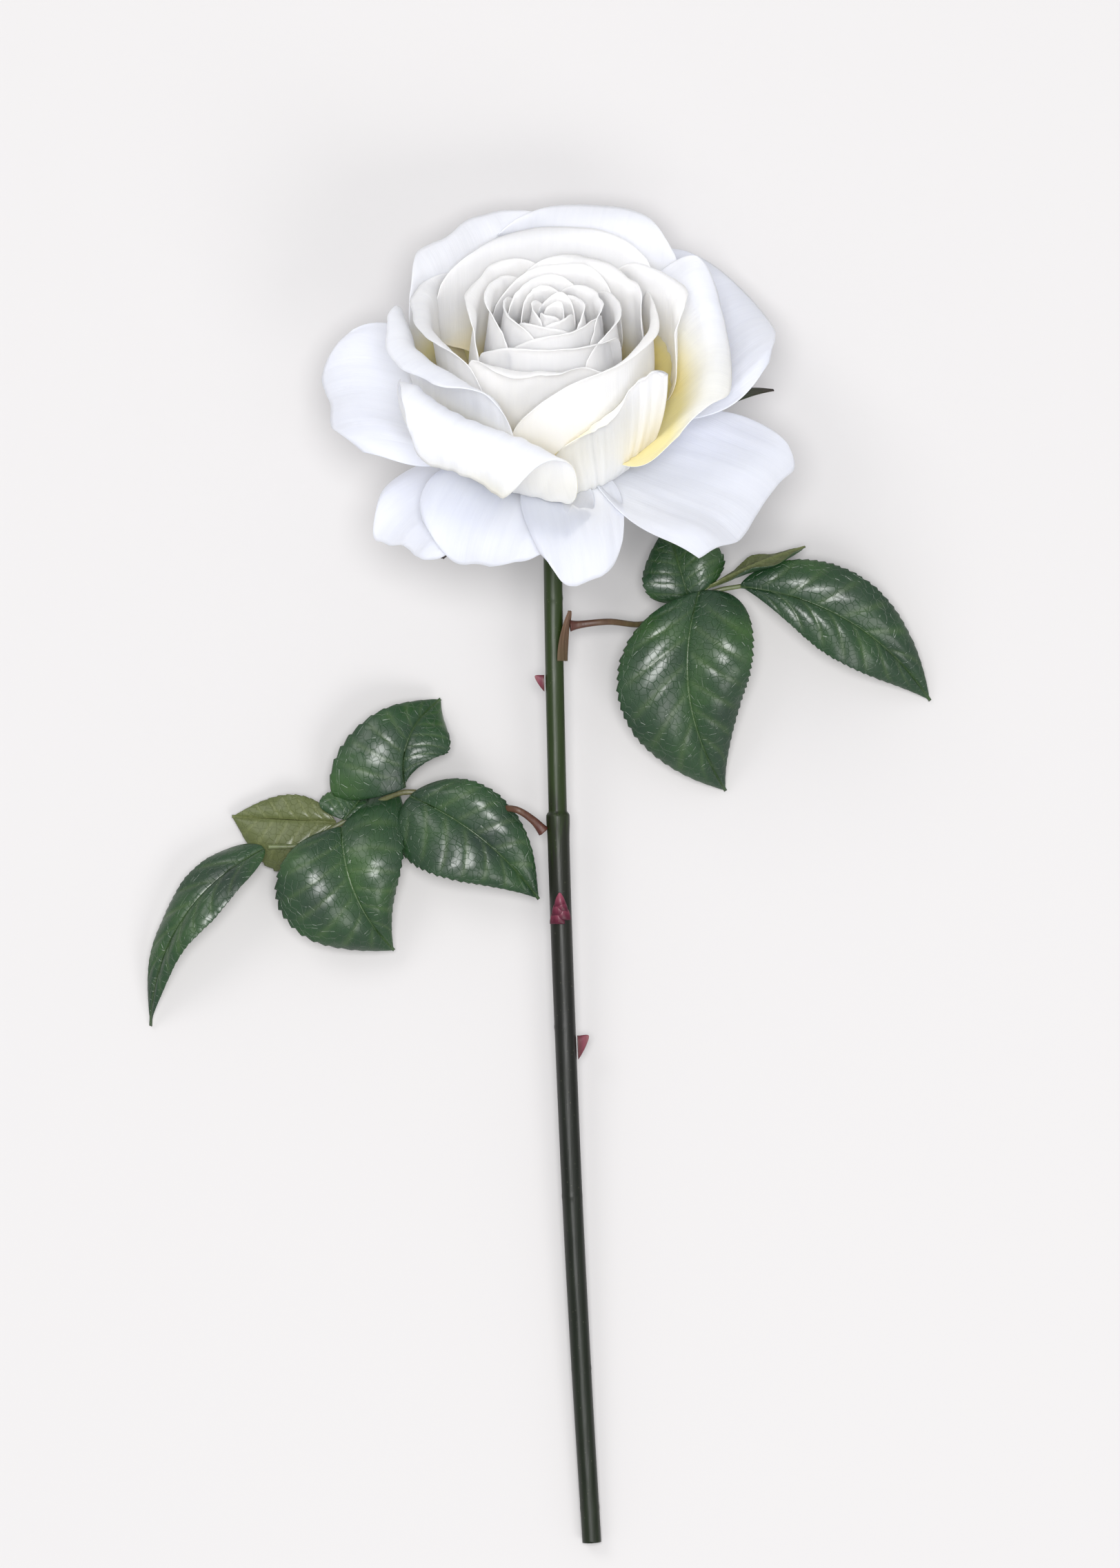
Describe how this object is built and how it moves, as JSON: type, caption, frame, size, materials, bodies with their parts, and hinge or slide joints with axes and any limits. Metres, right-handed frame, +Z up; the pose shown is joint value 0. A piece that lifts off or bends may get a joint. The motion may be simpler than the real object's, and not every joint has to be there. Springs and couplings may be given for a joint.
{
  "type": "cut rose",
  "caption": "Open white rose on a cut, thorned stem with compound leaves, lying on its side with the bloom leaning up.",
  "frame": {"origin": "middle of the rose's bounding box, on the surface that it lies on", "axes": "+Y along the stem from the cut end to the bloom, +X to the right seen from above with the bloom at the far end, +Z up from the surface"},
  "size_m": [0.2132, 0.3618, 0.0994],
  "materials": {
    "petal_outer": "satin",
    "petal_cup": "satin",
    "petal_heart": "satin",
    "calyx": "matte",
    "stem": "satin",
    "thorn": "satin",
    "bract": "matte",
    "side_bud": "satin",
    "leaf_stalk": "satin",
    "leaf": "satin"
  },
  "bodies": {
    "root": {"receptacle": "calyx", "guard_lower_left": "petal_outer", "guard_bottom": "petal_outer", "guard_back_right": "petal_outer", "guard_back_left": "petal_outer", "guard_left": "petal_outer", "guard_bottom_left": "petal_outer", "guard_right_low": "petal_outer", "guard_right": "petal_outer", "cup_lower_left": "petal_cup", "cup_lower_right": "petal_cup", "cup_left": "petal_cup", "cup_right": "petal_cup", "cup_back_right": "petal_cup", "cup_back_left": "petal_cup", "inner_right_outer": "petal_heart", "inner_front_low": "petal_heart", "inner_back": "petal_heart", "inner_left": "petal_heart", "inner_front": "petal_heart", "inner_back_right": "petal_heart", "inner_back_left": "petal_heart", "heart_front": "petal_heart", "heart_right": "petal_heart", "heart_back": "petal_heart", "heart_left": "petal_heart", "core_front": "petal_heart", "core_left": "petal_heart", "core_back": "petal_heart", "core_right": "petal_heart", "bud_1": "petal_heart", "bud_2": "petal_heart", "bud_3": "petal_heart", "bud_4": "petal_heart", "bud_5": "petal_heart", "bud_6": "petal_heart", "bud_7": "petal_heart", "bud_8": "petal_heart", "sepal_1": "calyx", "sepal_2": "calyx", "sepal_3": "calyx", "sepal_4": "calyx", "sepal_5": "calyx", "stem": "stem", "thorn_upper": "thorn", "thorn_lower": "thorn", "bract": "bract", "side_bud": "side_bud", "leaf_stalk_left": "leaf_stalk", "leaf_stalk_right": "leaf_stalk", "leaflet_left_1": "leaf", "leaflet_left_2": "leaf", "leaflet_left_3": "leaf", "leaflet_left_4": "leaf", "leaflet_left_5": "leaf", "leaflet_left_6": "leaf", "leaflet_right_1": "leaf", "leaflet_right_2": "leaf", "leaflet_right_3": "leaf", "leaflet_right_4": "leaf"}
  },
  "joints": []
}
